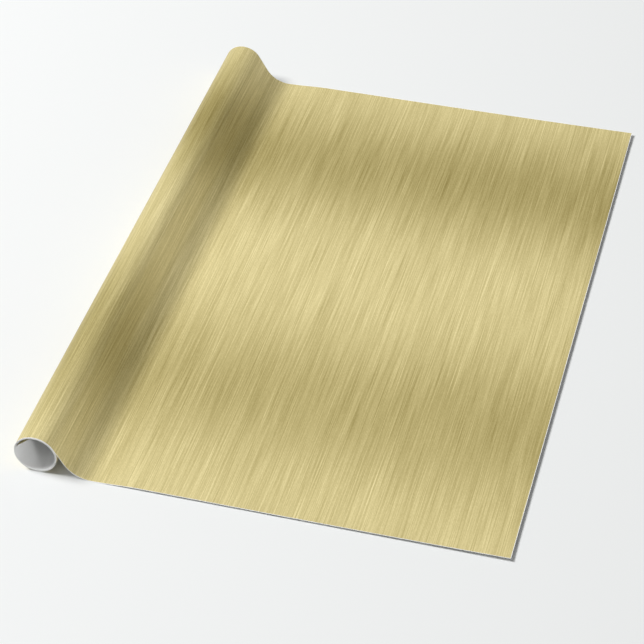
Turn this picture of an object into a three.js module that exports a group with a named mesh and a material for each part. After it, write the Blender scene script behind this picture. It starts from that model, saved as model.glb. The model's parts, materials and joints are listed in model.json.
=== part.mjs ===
// A partly unrolled roll of printed gift wrap. One web of paper is wound into a coreless coil, leaves
// the coil over its top, comes down to the table in an S-shaped bend and runs on as a flat sheet.
// The web has two layers: white paper, and a thin gold print coat on the face that lies outwards on
// the coil and upwards on the sheet. Millimetres, +Z up; X runs from the coil to the free end and Y
// along the coil. The origin is on the table, at the middle of the overall box.
import * as THREE from "three";

// The web.
const webWidth = 762;
const webLength = 1829;
const paperThickness = 0.12;
const printThickness = 0.02;
const layerGap = 0.01; // between the paper and its print coat
const printMargin = 0.5; // white border that the print leaves along each cut edge

// The coil and the lead-off.
const coilRadius = 23.3; // from the axis to the printed face, where the coil touches the table
const windingPitch = 0.18; // how much nearer the axis each turn lies than the turn outside it
const spinClearance = 0.3; // between the outer turn and the turns that spin inside it
const leadAngle = 30; // degrees above the horizontal at which the web leaves the coil
const footRadius = 33; // of the bend that brings the web flat onto the table
const turnsInCoil = 3; // turns between the outer turn and the core turns
const looseLift = 3; // how far the innermost turn stands off the turns outside it
const looseAngle = 130; // degrees above the horizontal at which it stands off the most
const looseSpan = 84; // degrees over which it stands off

// The sheet.
const exposedLength = 503; // from the coil's axis to the free end
const footFlat = 10; // flat web beyond the foot bend that still keeps its place
const spanLength = 140; // the stretch that lengthens as paper is drawn off
const stripLength = 40;
const stripCount = 3;
const seamGap = 0.3; // between neighbouring stretches of the web

// Facets.
const turnStep = 10; // degrees
const footStep = 6; // degrees

const radians = Math.PI / 180;
const fullTurn = 360;
const bottomAngle = 270;
const webThickness = paperThickness + layerGap + printThickness;

// Radius of the outer turn's white back, by winding angle in degrees from the lead-off inwards. The
// turns that spin inside it follow on from it, nearer the axis by the spin clearance.
function backRadius(winding) {
  const towardsTable = bottomAngle - leadAngle - winding;
  const outerFace = coilRadius + (windingPitch * towardsTable) / fullTurn;
  return outerFace - webThickness;
}

// The straight and bent stretches between the coil and the table.
const tangent = new THREE.Vector2(Math.sin(leadAngle * radians), -Math.cos(leadAngle * radians));
const outward = new THREE.Vector2(Math.cos(leadAngle * radians), Math.sin(leadAngle * radians));
const reach = backRadius(0) + footRadius;
const straightLength = (coilRadius + reach * outward.y - footRadius) / -tangent.y;
const footOffset = reach * outward.x + straightLength * tangent.x;
const footBend = (90 - leadAngle) * radians;
const exposedWeb = exposedLength - footOffset + footRadius * footBend + straightLength;

// The box runs from the coil's left side, at its half turn, to the free end.
const leftReach = backRadius(fullTurn / 2 - leadAngle) + webThickness;
const axisX = -(exposedLength - leftReach) / 2;
const footX = axisX + footOffset;
const freeEndX = axisX + exposedLength;

// The winding angle at which the web's whole length is used up, from the length of a spiral.
function innerEndWinding() {
  const pitchPerDegree = windingPitch / fullTurn;
  const startRadius = backRadius(0) + webThickness / 2 - spinClearance;
  const wound = webLength - exposedWeb - spinClearance * fullTurn * radians;
  const discriminant = startRadius ** 2 - (2 * pitchPerDegree * wound) / radians;
  return (startRadius - Math.sqrt(discriminant)) / pitchPerDegree;
}
const lastWinding = innerEndWinding();
const coreWinding = fullTurn * (1 + turnsInCoil);

// How far the innermost turn is dented inwards, off the turns outside it, at a winding angle.
function standOff(winding) {
  if (winding < lastWinding - fullTurn) return 0;
  const angle = (leadAngle + winding) % fullTurn;
  const share = Math.min(1, (2 * Math.abs(angle - looseAngle)) / looseSpan);
  return looseLift * Math.cos((share * Math.PI) / 2) ** 2;
}

// A station on the web's back: its place in the XZ plane and the direction that the print faces.
function station(x, z, facing) {
  return { at: new THREE.Vector2(x, z), facing };
}

// The station at a corner of the coil's facets, which lie at the same angles in every turn.
function cornerStation(corner, clearance) {
  const winding = corner * turnStep;
  const angle = (leadAngle + winding) * radians;
  const facing = new THREE.Vector2(Math.cos(angle), Math.sin(angle));
  const radius = backRadius(winding) - clearance - standOff(winding);
  return station(axisX + radius * facing.x, coilRadius + radius * facing.y, facing);
}

// Stations along the coil between two winding angles: one at each corner, and one on the facet that
// each end falls on.
function coilStations(from, to, clearance) {
  const endStation = (winding) => {
    const corner = Math.floor(winding / turnStep);
    const before = cornerStation(corner, clearance);
    const after = cornerStation(corner + 1, clearance);
    const share = winding / turnStep - corner;
    return { at: before.at.lerp(after.at, share), facing: before.facing.lerp(after.facing, share) };
  };
  const stations = [endStation(from)];
  for (let corner = Math.floor(from / turnStep) + 1; corner * turnStep < to; corner++) {
    stations.push(cornerStation(corner, clearance));
  }
  return [...stations, endStation(to)];
}

// Stations of the straight stretch from the coil down to the foot bend.
function leadOffStations() {
  const top = new THREE.Vector2(axisX, coilRadius).addScaledVector(outward, backRadius(0));
  return [seamGap / 2, straightLength - seamGap].map((run) => {
    const at = top.clone().addScaledVector(tangent, run);
    return station(at.x, at.y, outward);
  });
}

// Stations round the foot bend and along the first of the flat web.
function footBendStations() {
  const stations = [];
  const steps = (90 - leadAngle) / footStep;
  for (let i = 0; i <= steps; i++) {
    const angle = (leadAngle + i * footStep) * radians;
    const facing = new THREE.Vector2(Math.cos(angle), Math.sin(angle));
    stations.push(station(footX - footRadius * facing.x, footRadius * (1 - facing.y), facing));
  }
  stations.push(station(footX + footFlat - seamGap / 2, 0, new THREE.Vector2(0, 1)));
  return stations;
}

// Stations of a flat stretch on the table between two places along X.
function flatStations(from, to) {
  const up = new THREE.Vector2(0, 1);
  return [station(from, 0, up), station(to, 0, up)];
}

const paperMaterial = new THREE.MeshStandardMaterial({
  color: 0xf3f3f1,
  roughness: 0.85,
  metalness: 0,
});
const printMaterial = new THREE.MeshStandardMaterial({
  color: 0xcdc089,
  roughness: 0.42,
  metalness: 0.15,
});

// One layer of a stretch of web: the band between two distances from its back, drawn out along Y.
function layer(name, stations, low, high, width, material) {
  const along = (distance) =>
    stations.map(({ at, facing }) => at.clone().addScaledVector(facing, distance));
  const outline = new THREE.Shape([...along(low), ...along(high).reverse()]);
  const geometry = new THREE.ExtrudeGeometry(outline, { depth: width, bevelEnabled: false });
  const mesh = new THREE.Mesh(geometry, material);
  mesh.name = name;
  mesh.rotation.x = Math.PI / 2;
  mesh.position.y = width / 2;
  return mesh;
}

// A stretch of web: its paper and its print coat, which stops short where the web is cut across.
function web(name, paperStations, printStations = paperStations) {
  const printLow = paperThickness + layerGap;
  const printWidth = webWidth - 2 * printMargin;
  const stretch = new THREE.Group();
  stretch.add(
    layer(`${name}_paper`, paperStations, 0, paperThickness, webWidth, paperMaterial),
    layer(`${name}_print`, printStations, printLow, webThickness, printWidth, printMaterial),
  );
  return stretch;
}

const roll = new THREE.Group();

// The outer turn of the coil, and the S-shaped lead-off and foot bend from it down to the table.
const seamTurn = seamGap / 2 / coilRadius / radians;
roll.add(web("outer_turn", coilStations(seamTurn, fullTurn - seamTurn, 0)));
roll.add(web("lead_off", leadOffStations()));
roll.add(web("foot_bend", footBendStations()));

// The turns that spin inside the outer turn, and the core turns that slide out of them end-on.
const marginTurn = printMargin / coilRadius / radians;
const innerStations = (from, to) => coilStations(from + seamTurn, to, spinClearance);
roll.add(web("coil_turns", innerStations(fullTurn, coreWinding - seamTurn)));
const coreStations = innerStations(coreWinding, lastWinding);
roll.add(web("core_turns", coreStations, innerStations(coreWinding, lastWinding - marginTurn)));

// The flat web: the span that lengthens, the sheet, and the strips of the free end that lifts.
const spanStart = footX + footFlat;
const sheetStart = spanStart + spanLength;
const sheetEnd = freeEndX - stripCount * stripLength;
roll.add(web("web_span", flatStations(spanStart + seamGap / 2, sheetStart - seamGap / 2)));
roll.add(web("sheet", flatStations(sheetStart + seamGap / 2, sheetEnd - seamGap / 2)));
for (let i = 0; i < stripCount; i++) {
  const start = sheetEnd + i * stripLength + seamGap / 2;
  const isLast = i === stripCount - 1;
  const end = isLast ? freeEndX : sheetEnd + (i + 1) * stripLength - seamGap / 2;
  const printEnd = isLast ? freeEndX - printMargin : end;
  roll.add(web(`free_end_${i + 1}`, flatStations(start, end), flatStations(start, printEnd)));
}

export default roll;
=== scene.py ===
"""A partly unrolled roll of gift wrap, printed to look like brushed gold: one web of white paper with
a print coat, wound into a coreless coil that it leaves in an S down to the floor. Lengths in metres."""
import json
import math

import bpy
import numpy as np
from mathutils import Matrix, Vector


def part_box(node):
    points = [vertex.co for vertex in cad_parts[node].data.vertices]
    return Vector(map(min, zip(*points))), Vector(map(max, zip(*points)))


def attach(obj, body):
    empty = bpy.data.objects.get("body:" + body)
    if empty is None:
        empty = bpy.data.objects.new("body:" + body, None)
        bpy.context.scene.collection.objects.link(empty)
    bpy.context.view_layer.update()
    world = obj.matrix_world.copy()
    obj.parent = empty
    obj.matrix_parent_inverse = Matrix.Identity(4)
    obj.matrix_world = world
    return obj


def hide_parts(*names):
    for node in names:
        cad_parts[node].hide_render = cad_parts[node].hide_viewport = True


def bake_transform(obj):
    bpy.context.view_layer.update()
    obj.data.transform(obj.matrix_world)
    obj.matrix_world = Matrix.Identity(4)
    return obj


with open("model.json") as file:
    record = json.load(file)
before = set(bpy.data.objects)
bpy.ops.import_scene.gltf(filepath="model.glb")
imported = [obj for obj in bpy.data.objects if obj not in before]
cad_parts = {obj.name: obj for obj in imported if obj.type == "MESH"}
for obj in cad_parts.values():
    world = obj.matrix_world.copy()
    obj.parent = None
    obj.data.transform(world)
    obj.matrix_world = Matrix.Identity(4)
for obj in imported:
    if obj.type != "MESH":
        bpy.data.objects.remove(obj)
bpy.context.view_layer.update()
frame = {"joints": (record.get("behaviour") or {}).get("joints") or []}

MM = 0.001
FULL_TURN = 2 * math.pi
WHITE = (1.0, 1.0, 1.0)
WARM_WHITE = (1.0, 0.995, 0.97)

# The web, as the CAD frame has it.
JOINTS = {joint["name"]: joint for joint in frame["joints"]}
AXIS_X, _, AXIS_Z = JOINTS["coil_spin"]["pos_m"]
WEB_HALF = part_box("sheet_paper")[1][1]
PAPER_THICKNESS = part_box("sheet_paper")[1][2]
PRINT_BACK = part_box("sheet_print")[0][2]
WEB_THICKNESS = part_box("sheet_print")[1][2]
PRINT_MARGIN = WEB_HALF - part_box("sheet_print")[1][1]
FREE_END_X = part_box("free_end_3_paper")[1][0]

# The coil. Winding angles run inwards from the place where the web leaves it.
COIL_RADIUS = AXIS_Z
PITCH = 0.18 * MM  # how much nearer the axis each turn lies than the turn outside it
LEAD_ANGLE = math.radians(30)  # above the horizontal, where the web leaves the coil
CORE_WINDING = 4 * FULL_TURN  # where the turns that slide out end-on begin
LAST_WINDING = math.radians(3428.4)  # the inner end, where the web's length is used up
SPIN_CLEARANCE = 0.2 * MM  # between the outer turn and the turns that spin inside it
SEAM = 0.3 * MM / COIL_RADIUS  # the winding angle left between the coil's turns and its core
TURN_WANDER = 0.16 * MM  # how far the turns' edges wander out of line
LOOSE_LIFT = 3.0 * MM  # how far the innermost turn stands off the turn outside it
LOOSE_ANGLE = math.radians(130)  # above the horizontal, where it stands off the most
LOOSE_SPAN = math.radians(84)  # the angle over which it stands off

# The lead-off and the sheet.
FOOT_RADIUS = 33 * MM
RUN_END_X = 0.085  # where the sheet is handed over to the end pieces
HINGES = [JOINTS[f"end_lift_{number}"]["pos_m"][0] for number in (1, 2, 3)]
END_LIFT = 3.0 * MM  # how far the free end stands off the floor
END_CURVE = 2.5  # the power of the distance along the sheet that it rises with
EDGE_LIFT = 2.0 * MM  # how far the cut edges stand off the floor
EDGE_REACH = 22 * MM  # how far in from an edge its lift fades
EDGE_START = 0.12  # the share of the sheet, from the foot bend, over which the edges rise

# How finely the web is divided: rows across it, and steps along it.
SHEET_ROWS = 40
COIL_ROWS = 8
OUTER_STEP = math.radians(2)
COIL_STEP = math.radians(3)
STRAIGHT_STEPS = 8
BEND_STEPS = 24
FLAT_STEP = 4 * MM
END_STEP = 2 * MM
SHARP_ANGLE = math.radians(40)

# ---------------------------------------------------------------- camera and light

CAMERA_LENS = 127.74  # millimetres
CAMERA_TARGET = (AXIS_X + 0.2244, -0.0703, 0.0006)
CAMERA_PLACE = {"azimuth": 15.03, "elevation": 39.85, "distance": 2.5685}


def aim(item, target):
    """Points a camera or lamp's -Z axis at the target."""
    item.rotation_euler = (Vector(target) - item.location).to_track_quat("-Z", "Y").to_euler()


def around(target, azimuth, elevation, distance):
    """A place seen from the target: azimuth 0 is along -Y, and 90 is along +X."""
    turn = math.radians(azimuth)
    rise = math.radians(elevation)
    flat = distance * math.cos(rise)
    offset = Vector((flat * math.sin(turn), -flat * math.cos(turn), distance * math.sin(rise)))
    return Vector(target) + offset


def link(item):
    bpy.context.scene.collection.objects.link(item)
    return item


def make_camera():
    camera = link(bpy.data.objects.new("camera", bpy.data.cameras.new("camera")))
    camera.data.sensor_width = 36
    camera.data.lens = CAMERA_LENS
    camera.location = around(CAMERA_TARGET, **CAMERA_PLACE)
    aim(camera, CAMERA_TARGET)
    bpy.context.scene.camera = camera


def area_light(name, azimuth, elevation, distance, size, power, colour=WHITE):
    lamp = link(bpy.data.objects.new(name, bpy.data.lights.new(name, "AREA")))
    lamp.data.shape = "DISK"
    lamp.data.size = size
    lamp.data.energy = power
    lamp.data.color = colour
    lamp.location = around((0, 0, 0), azimuth, elevation, distance)
    aim(lamp, (0, 0, 0))
    return lamp


def light_only(lamp, pieces):
    """Keeps a lamp's light to the given pieces, so that it doesn't thin the shadows on the floor."""
    lit = bpy.data.collections.new(f"{lamp.name}_lights")
    for piece in pieces:
        lit.objects.link(piece)
    lamp.light_linking.receiver_collection = lit


def make_world(at_horizon, overhead):
    """A studio room whose light grows from its walls to its ceiling, by the height of the direction."""
    world = bpy.data.worlds.new("studio")
    world.use_nodes = True
    tree = world.node_tree
    background = tree.nodes["Background"]
    background.inputs["Color"].default_value = (*WHITE, 1)
    direction = tree.nodes.new("ShaderNodeTexCoord")
    parts = tree.nodes.new("ShaderNodeSeparateXYZ")
    strength = tree.nodes.new("ShaderNodeMapRange")
    strength.inputs["To Min"].default_value = at_horizon
    strength.inputs["To Max"].default_value = overhead
    tree.links.new(direction.outputs["Generated"], parts.inputs[0])
    tree.links.new(parts.outputs["Z"], strength.inputs["Value"])
    tree.links.new(strength.outputs[0], background.inputs["Strength"])
    bpy.context.scene.world = world


# ---------------------------------------------------------------- materials


class Graph:
    """A material's node tree, with short calls for the nodes that the materials here use."""

    def __init__(self, name):
        self.material = bpy.data.materials.new(name)
        self.material.use_nodes = True
        self.tree = self.material.node_tree
        self.shader = self.tree.nodes["Principled BSDF"]

    def node(self, kind, **values):
        made = self.tree.nodes.new(kind)
        for key, value in values.items():
            setattr(made, key, value)
        return made

    def put(self, source, socket):
        """Feeds a socket from another node's output, or sets it to a number."""
        if isinstance(source, (int, float)):
            socket.default_value = source
        else:
            self.tree.links.new(source, socket)

    def maths(self, operation, *sources):
        """One sum with the sources, which are other nodes' outputs or numbers."""
        made = self.node("ShaderNodeMath", operation=operation)
        for source, socket in zip(sources, made.inputs):
            self.put(source, socket)
        return made.outputs[0]

    def web_place(self):
        """The distance along the web and the place across it, both in metres."""
        web = self.node("ShaderNodeUVMap", uv_map="web")
        parts = self.node("ShaderNodeSeparateXYZ")
        self.put(web.outputs[0], parts.inputs[0])
        return parts.outputs[0], parts.outputs[1]

    def noise(self, along, across, pitch_along, pitch_across, detail, seed):
        """Noise from -0.5 to 0.5 whose grain measures pitch_along by pitch_across on the web."""
        place = self.node("ShaderNodeCombineXYZ")
        self.put(self.maths("DIVIDE", along, pitch_along), place.inputs[0])
        self.put(self.maths("DIVIDE", across, pitch_across), place.inputs[1])
        self.put(seed, place.inputs[2])
        made = self.node("ShaderNodeTexNoise")
        made.inputs["Scale"].default_value = 1.0
        made.inputs["Detail"].default_value = detail
        self.put(place.outputs[0], made.inputs["Vector"])
        return self.maths("SUBTRACT", made.outputs[0], 0.5)

    def bell(self, source, width):
        """A bell curve: 1 where the source is 0, falling off over the width on each side."""
        square = self.maths("POWER", self.maths("DIVIDE", source, width), 2.0)
        return self.maths("EXPONENT", self.maths("MULTIPLY", square, -1.0))

    def bump(self, height, distance):
        made = self.node("ShaderNodeBump")
        made.inputs["Distance"].default_value = distance
        self.put(height, made.inputs["Height"])
        self.put(made.outputs[0], self.shader.inputs["Normal"])

    def ramp(self, source, colours):
        """Colours spread evenly over 0 to 1."""
        made = self.node("ShaderNodeValToRGB")
        stops = made.color_ramp.elements
        while len(stops) < len(colours):
            stops.new(0.5)
        for place, (stop, colour) in enumerate(zip(stops, colours)):
            stop.position = place / (len(colours) - 1)
            stop.color = (*colour, 1)
        self.put(source, made.inputs[0])
        return made.outputs[0]


def linear(level):
    """A display level from 0 to 255 as linear light."""
    share = level / 255
    return share / 12.92 if share <= 0.04045 else ((share + 0.055) / 1.055) ** 2.4


# The print's tones, as display levels of green: red lies above and blue below by a fixed step.
TONE_LOW, TONE_HIGH = 80, 240
TONE_STOPS = 8
RED_STEP, BLUE_STEP = 13, -52
BASE_TONE = 195
END_PAINTED_SHADE = 18.0  # levels of painted shade that darken the print in each metre towards the free end
COIL_PAINTED_SHADE = 250.0  # levels of painted shade that darken it in each metre round the coil
PAINTED_SHADE_LIMIT = 10.0  # the most levels of painted shade that either of them takes off

# The dark bands along the web: centre and width, as shares of the web's width, and depth in levels. They
# deepen by a share around the place where the web leaves the coil, as painted shade on the coil's shaded
# side.
DARK_BANDS = ((0.243, 0.15, 32.0), (0.80, 0.138, 41.0))
PAINTED_SHADE_DEEPENING = 0.3
PAINTED_SHADE_PLACE = 12 * MM
PAINTED_SHADE_REACH = 40 * MM


def print_colour(tone):
    return [linear(tone + RED_STEP), linear(tone), linear(tone + BLUE_STEP)]


def band(graph, across, centre, width, depth):
    """A soft dark band along the web, centred a share of the way across it."""
    share = graph.maths("ADD", graph.maths("DIVIDE", across, 2 * WEB_HALF), 0.5 - centre)
    return graph.maths("MULTIPLY", graph.bell(share, width), depth)


def gold_print_and_painted_shade():
    """The printed picture of brushed gold: two dark bands and fine streaks across the web, with painted
    shade that darkens it round the coil and towards the free end and deepens the bands where the web
    leaves the coil.
    """
    graph = Graph("gold_print_and_painted_shade")
    along, across = graph.web_place()
    bands = graph.maths("ADD", *(band(graph, across, *values) for values in DARK_BANDS))
    # Painted shade: the bands deepen where the web leaves the coil, on the coil's shaded side.
    nearness = graph.bell(graph.maths("SUBTRACT", along, PAINTED_SHADE_PLACE), PAINTED_SHADE_REACH)
    painted_shade_deepening = graph.maths("ADD", graph.maths("MULTIPLY", nearness, PAINTED_SHADE_DEEPENING), 1.0)
    bands = graph.maths("MULTIPLY", bands, painted_shade_deepening)
    # Painted shade: the print darkens towards the free end, where less of the key's light falls, and
    # round the coil, on its brightly lit left side.
    painted_end_shade = graph.maths("MULTIPLY", along, END_PAINTED_SHADE)
    painted_coil_shade = graph.maths("MULTIPLY", along, -COIL_PAINTED_SHADE)
    painted_shade = graph.maths("MINIMUM", graph.maths("MAXIMUM", painted_end_shade, painted_coil_shade), PAINTED_SHADE_LIMIT)
    tone = graph.maths("SUBTRACT", graph.maths("SUBTRACT", BASE_TONE, bands), painted_shade)
    fine = graph.noise(along, across, 0.75 * MM, 88 * MM, detail=2.0, seed=1.7)
    thin = graph.noise(along, across, 1.6 * MM, 90 * MM, detail=1.0, seed=9.2)
    broad = graph.noise(along, across, 14 * MM, 300 * MM, detail=1.0, seed=4.1)
    grain = graph.noise(along, across, 0.7 * MM, 2.4 * MM, detail=1.0, seed=6.6)
    for streaks, strength in ((fine, 83.0), (thin, 28.0), (broad, 22.0), (grain, 31.0)):
        tone = graph.maths("ADD", tone, graph.maths("MULTIPLY", streaks, strength))
    share = graph.maths("DIVIDE", graph.maths("SUBTRACT", tone, TONE_LOW), TONE_HIGH - TONE_LOW)
    stops = np.linspace(TONE_LOW, TONE_HIGH, TONE_STOPS)
    colour = graph.ramp(share, [print_colour(stop) for stop in stops])
    graph.put(colour, graph.shader.inputs["Base Color"])
    gloss = graph.maths("ADD", graph.maths("MULTIPLY", fine, 0.25), 0.5)
    graph.put(gloss, graph.shader.inputs["Roughness"])
    graph.shader.inputs["Specular IOR Level"].default_value = 0.35
    graph.shader.inputs["Specular Tint"].default_value = (1.0, 0.88, 0.45, 1)
    graph.bump(graph.maths("ADD", fine, thin), 0.02 * MM)
    return graph.material


def white_paper():
    """Uncoated white paper: a faint cloudiness and short fibres."""
    graph = Graph("white_paper")
    along, across = graph.web_place()
    cloud = graph.noise(along, across, 9 * MM, 11 * MM, detail=4.0, seed=2.5)
    fibre = graph.noise(along, across, 0.35 * MM, 1.1 * MM, detail=5.0, seed=7.9)
    share = graph.maths("ADD", graph.maths("ADD", cloud, graph.maths("MULTIPLY", fibre, 0.6)), 0.5)
    colour = graph.ramp(share, [(0.80, 0.80, 0.79), (0.86, 0.86, 0.85), (0.90, 0.90, 0.895)])
    graph.put(colour, graph.shader.inputs["Base Color"])
    graph.shader.inputs["Roughness"].default_value = 0.85
    graph.shader.inputs["Specular IOR Level"].default_value = 0.25
    graph.bump(fibre, 0.05 * MM)
    return graph.material


def floor_material():
    graph = Graph("pale_floor")
    graph.shader.inputs["Base Color"].default_value = (0.88, 0.893, 0.89, 1)
    graph.shader.inputs["Roughness"].default_value = 0.9
    graph.shader.inputs["Specular IOR Level"].default_value = 0.0
    return graph.material


FLOOR_HALF = 20.0
FLOOR_DROP = 0.2 * MM  # below the web, so that the two don't share a plane


def make_floor(material):
    low, high = -FLOOR_HALF, FLOOR_HALF
    mesh = bpy.data.meshes.new("floor")
    corners = [(x, y, -FLOOR_DROP) for x, y in ((low, low), (high, low), (high, high), (low, high))]
    mesh.from_pydata(corners, [], [(0, 1, 2, 3)])
    mesh.materials.append(material)
    link(bpy.data.objects.new("floor", mesh))


# ---------------------------------------------------------------- the web's path

# A station is (x, z, facing x, facing z, distance along the web, shift along Y): its place on the web's
# back, the direction that the print faces, and how far the web's edges are out of line there.


def smooth(share):
    """A share from 0 to 1, eased in and out."""
    share = np.clip(share, 0, 1)
    return share * share * (3 - 2 * share)


def back_radius(winding):
    """From the coil's axis to the web's white back."""
    towards_floor = 1.5 * math.pi - LEAD_ANGLE - winding
    return COIL_RADIUS + PITCH * towards_floor / FULL_TURN - WEB_THICKNESS


def stand_off(winding):
    """How far the innermost turn is dented inwards, off the turn outside it."""
    if winding < LAST_WINDING - FULL_TURN:
        return 0
    angle = (LEAD_ANGLE + winding) % FULL_TURN
    share = min(1, 2 * abs(angle - LOOSE_ANGLE) / LOOSE_SPAN)
    return LOOSE_LIFT * math.cos(share * math.pi / 2) ** 2


def edge_shift(winding):
    """How far a turn lies out of line with the outer turn, as turns do in a coil rolled by hand."""
    inwards = max(0, winding / FULL_TURN - 1)
    wander = math.sin(1.9 * inwards) + 0.7 * math.sin(4.7 * inwards + 1) + 0.5 * math.sin(11.3 * inwards)
    return TURN_WANDER * wander * min(1, inwards)


def coil_station(winding, clearance):
    angle = LEAD_ANGLE + winding
    radius = back_radius(winding) - clearance - stand_off(winding)
    wound = back_radius(0) * winding - PITCH * winding**2 / (2 * FULL_TURN)
    wound -= clearance * max(0, winding - FULL_TURN)
    facing = (math.cos(angle), math.sin(angle))
    place = (AXIS_X + radius * facing[0], AXIS_Z + radius * facing[1])
    return (*place, *facing, -wound, edge_shift(winding))


def coil_stations(first, last, clearance, step=COIL_STEP):
    count = math.ceil((last - first) / step)
    return [coil_station(first + (last - first) * i / count, clearance) for i in range(count + 1)]


def lead_off_stations():
    """The straight from the coil and the bend onto the floor, in the order from the coil."""
    outward = (math.cos(LEAD_ANGLE), math.sin(LEAD_ANGLE))
    reach = back_radius(0) + FOOT_RADIUS
    length = (AXIS_Z + reach * outward[1] - FOOT_RADIUS) / outward[0]
    foot_x = AXIS_X + reach * outward[0] + length * outward[1]
    start = coil_station(0, 0)
    stations = []
    for i in range(1, STRAIGHT_STEPS + 1):
        run = length * i / STRAIGHT_STEPS
        place = (start[0] + run * outward[1], start[1] - run * outward[0])
        stations.append((*place, *outward, run, 0))
    for i in range(1, BEND_STEPS + 1):
        bend = (math.pi / 2 - LEAD_ANGLE) * i / BEND_STEPS
        facing = (math.cos(LEAD_ANGLE + bend), math.sin(LEAD_ANGLE + bend))
        place = (foot_x - FOOT_RADIUS * facing[0], FOOT_RADIUS * (1 - facing[1]))
        stations.append((*place, *facing, length + FOOT_RADIUS * bend, 0))
    return stations


LEAD_OFF = lead_off_stations()
FOOT_X, FOOT_LENGTH = LEAD_OFF[-1][0], LEAD_OFF[-1][4]


def flat_stations(first, last, step=FLAT_STEP):
    count = math.ceil((last - first) / step)
    places = [first + (last - first) * i / count for i in range(count + 1)]
    return [(x, 0, 0, 1, FOOT_LENGTH + x - FOOT_X, 0) for x in places]


def lay_height(x, y):
    """How far the lying sheet stands off the floor: a little at its cut edges, most at the free end."""
    run = np.clip((x - FOOT_X) / (FREE_END_X - FOOT_X), 0, 1)
    edge = np.exp(-(WEB_HALF - np.abs(y)) / EDGE_REACH) * smooth(run / EDGE_START)
    return np.hypot(END_LIFT * run**END_CURVE, EDGE_LIFT * edge)


# ---------------------------------------------------------------- meshes


def rows_across(half, count):
    """Places across the web, closer together towards its cut edges."""
    places = [half * math.sin(math.pi / 2 * (2 * i / count - 1)) for i in range(count + 1)]
    return np.array(places)


def web_mesh(name, stations, low, high, half, rows, material):
    """A closed slab: the layer of the web between two distances from its back."""
    table = np.array(stations, float)
    across = rows_across(half, rows)
    x, z, face_x, face_z, length, shift = (column[:, None] for column in table.T)
    y = np.repeat(across[None, :], len(table), 0)
    lay = lay_height(x, y)
    layers = []
    for distance in (low, high):
        place = (x + face_x * distance, y + shift, z + face_z * distance + lay)
        layers.append(np.stack(np.broadcast_arrays(*place), -1).reshape(-1, 3))
    per_layer = len(table) * (rows + 1)
    index = np.arange(per_layer).reshape(len(table), rows + 1)
    faces = []

    def add(a, b, c, d):
        """Adds a face for each set of four corners."""
        faces.extend(np.stack([a, b, c, d], -1).reshape(-1, 4).tolist())

    top = index + per_layer
    add(top[:-1, :-1], top[1:, :-1], top[1:, 1:], top[:-1, 1:])
    add(index[:-1, :-1], index[:-1, 1:], index[1:, 1:], index[1:, :-1])
    add(index[:-1, 0], index[1:, 0], top[1:, 0], top[:-1, 0])
    add(index[1:, -1], index[:-1, -1], top[:-1, -1], top[1:, -1])
    add(index[0, 1:], index[0, :-1], top[0, :-1], top[0, 1:])
    add(index[-1, :-1], index[-1, 1:], top[-1, 1:], top[-1, :-1])
    mesh = bpy.data.meshes.new(name)
    mesh.from_pydata(np.concatenate(layers).tolist(), [], faces)
    lengths = np.tile(np.repeat(length[:, 0], rows + 1), 2)
    places_across = np.tile(y.reshape(-1), 2)
    corners = np.empty(len(mesh.loops), np.int32)
    mesh.loops.foreach_get("vertex_index", corners)
    web = mesh.uv_layers.new(name="web")
    web.data.foreach_set("uv", np.stack([lengths[corners], places_across[corners]], -1).ravel())
    mesh.shade_smooth()
    mesh.set_sharp_from_angle(angle=SHARP_ANGLE)
    mesh.materials.append(material)
    return link(bpy.data.objects.new(name, mesh))


def web_piece(name, stations, rows, nodes, held, print_stations=None):
    """A stretch of web as its paper and its print coat, standing for the CAD nodes of both."""
    paper = web_mesh(f"{name}_paper", stations, 0, PAPER_THICKNESS, WEB_HALF, rows, PAPER)
    coat_half = WEB_HALF - PRINT_MARGIN
    coat = web_mesh(
        f"{name}_print", print_stations or stations, PRINT_BACK, WEB_THICKNESS, coat_half, rows, PRINT_AND_PAINTED_SHADE
    )
    for piece, layer in ((paper, "paper"), (coat, "print")):
        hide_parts(*(f"{node}_{layer}" for node in nodes))
    length = abs(stations[-1][4] - stations[0][4])
    return paper, coat, (2 * WEB_HALF, length), held


def settle(piece, place):
    paper, coat, flat, held = piece
    place(paper)
    place(coat)


# ---------------------------------------------------------------- the roll

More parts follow.
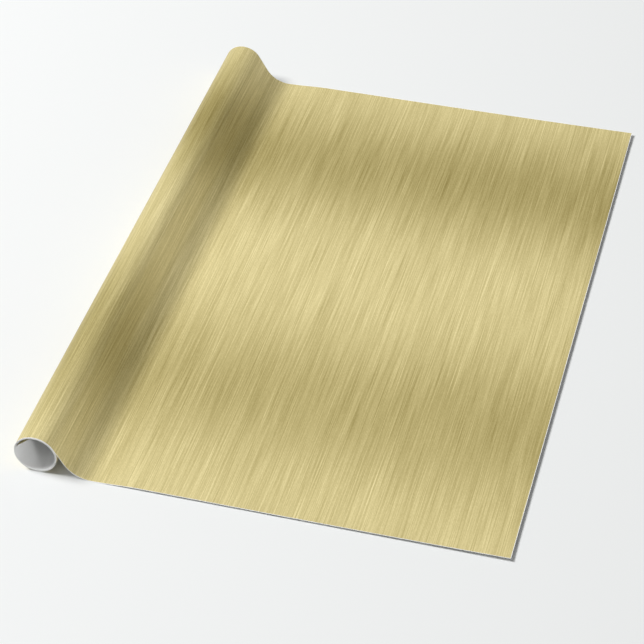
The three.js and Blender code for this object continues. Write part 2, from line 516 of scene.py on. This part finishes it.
make_camera()
area_light("key", azimuth=-86, elevation=46, distance=9.0, size=3.2, power=838)
fill = area_light("fill", azimuth=75, elevation=28, distance=5.0, size=3.0, power=118, colour=WARM_WHITE)
mouth_light = area_light("mouth_light", azimuth=45, elevation=15, distance=5.0, size=1.0, power=72)
wedge_light = area_light("wedge_light", azimuth=-20, elevation=5, distance=5.0, size=1.0, power=120)
make_world(at_horizon=0.09, overhead=0.34)
bpy.context.scene.view_settings.view_transform = "Standard"
make_floor(floor_material())

PAPER = white_paper()
PRINT_AND_PAINTED_SHADE = gold_print_and_painted_shade()

# The outer turn, the lead-off and most of the sheet, in one stretch.
outer_turn = coil_stations(0, FULL_TURN, 0, OUTER_STEP)[::-1]
run = web_piece(
    "run",
    outer_turn + LEAD_OFF + flat_stations(FOOT_X, RUN_END_X)[1:],
    SHEET_ROWS,
    ["outer_turn", "lead_off", "foot_bend", "web_span"],
    "laid",
)
settle(run, lambda piece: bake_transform(piece))

# The free end, cut midway between its hinges, one piece to each hinge.
cuts = [RUN_END_X, (HINGES[0] + HINGES[1]) / 2, (HINGES[1] + HINGES[2]) / 2, FREE_END_X]
stands_for = [["sheet"], ["free_end_1"], ["free_end_2", "free_end_3"]]
ends = []
for number, hinge in enumerate(HINGES):
    first, last = cuts[number : number + 2]
    print_last = last - PRINT_MARGIN if last == FREE_END_X else last
    end = web_piece(
        f"end_{number + 1}",
        flat_stations(first, last, END_STEP),
        SHEET_ROWS,
        stands_for[number],
        "laid",
        flat_stations(first, print_last, END_STEP),
    )
    settle(end, lambda piece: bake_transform(piece))
    ends += end[:2]

# The turns that spin inside the outer turn, and the core turns with the loose innermost one.
coil = web_piece(
    "coil",
    coil_stations(FULL_TURN, CORE_WINDING - SEAM, SPIN_CLEARANCE),
    COIL_ROWS,
    ["coil_turns"],
    "folded",
)
settle(coil, lambda piece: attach(piece, "coil"))
core = web_piece(
    "core",
    coil_stations(CORE_WINDING, LAST_WINDING, SPIN_CLEARANCE),
    COIL_ROWS,
    ["core_turns"],
    "folded",
    coil_stations(CORE_WINDING, LAST_WINDING - PRINT_MARGIN / COIL_RADIUS, SPIN_CLEARANCE),
)
settle(core, lambda piece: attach(piece, "core"))

# Only the key and the room's own light reach the floor.
light_only(fill, [*run[:2], *ends])
light_only(mouth_light, [coil[0], core[0]])
light_only(wedge_light, run[:1])
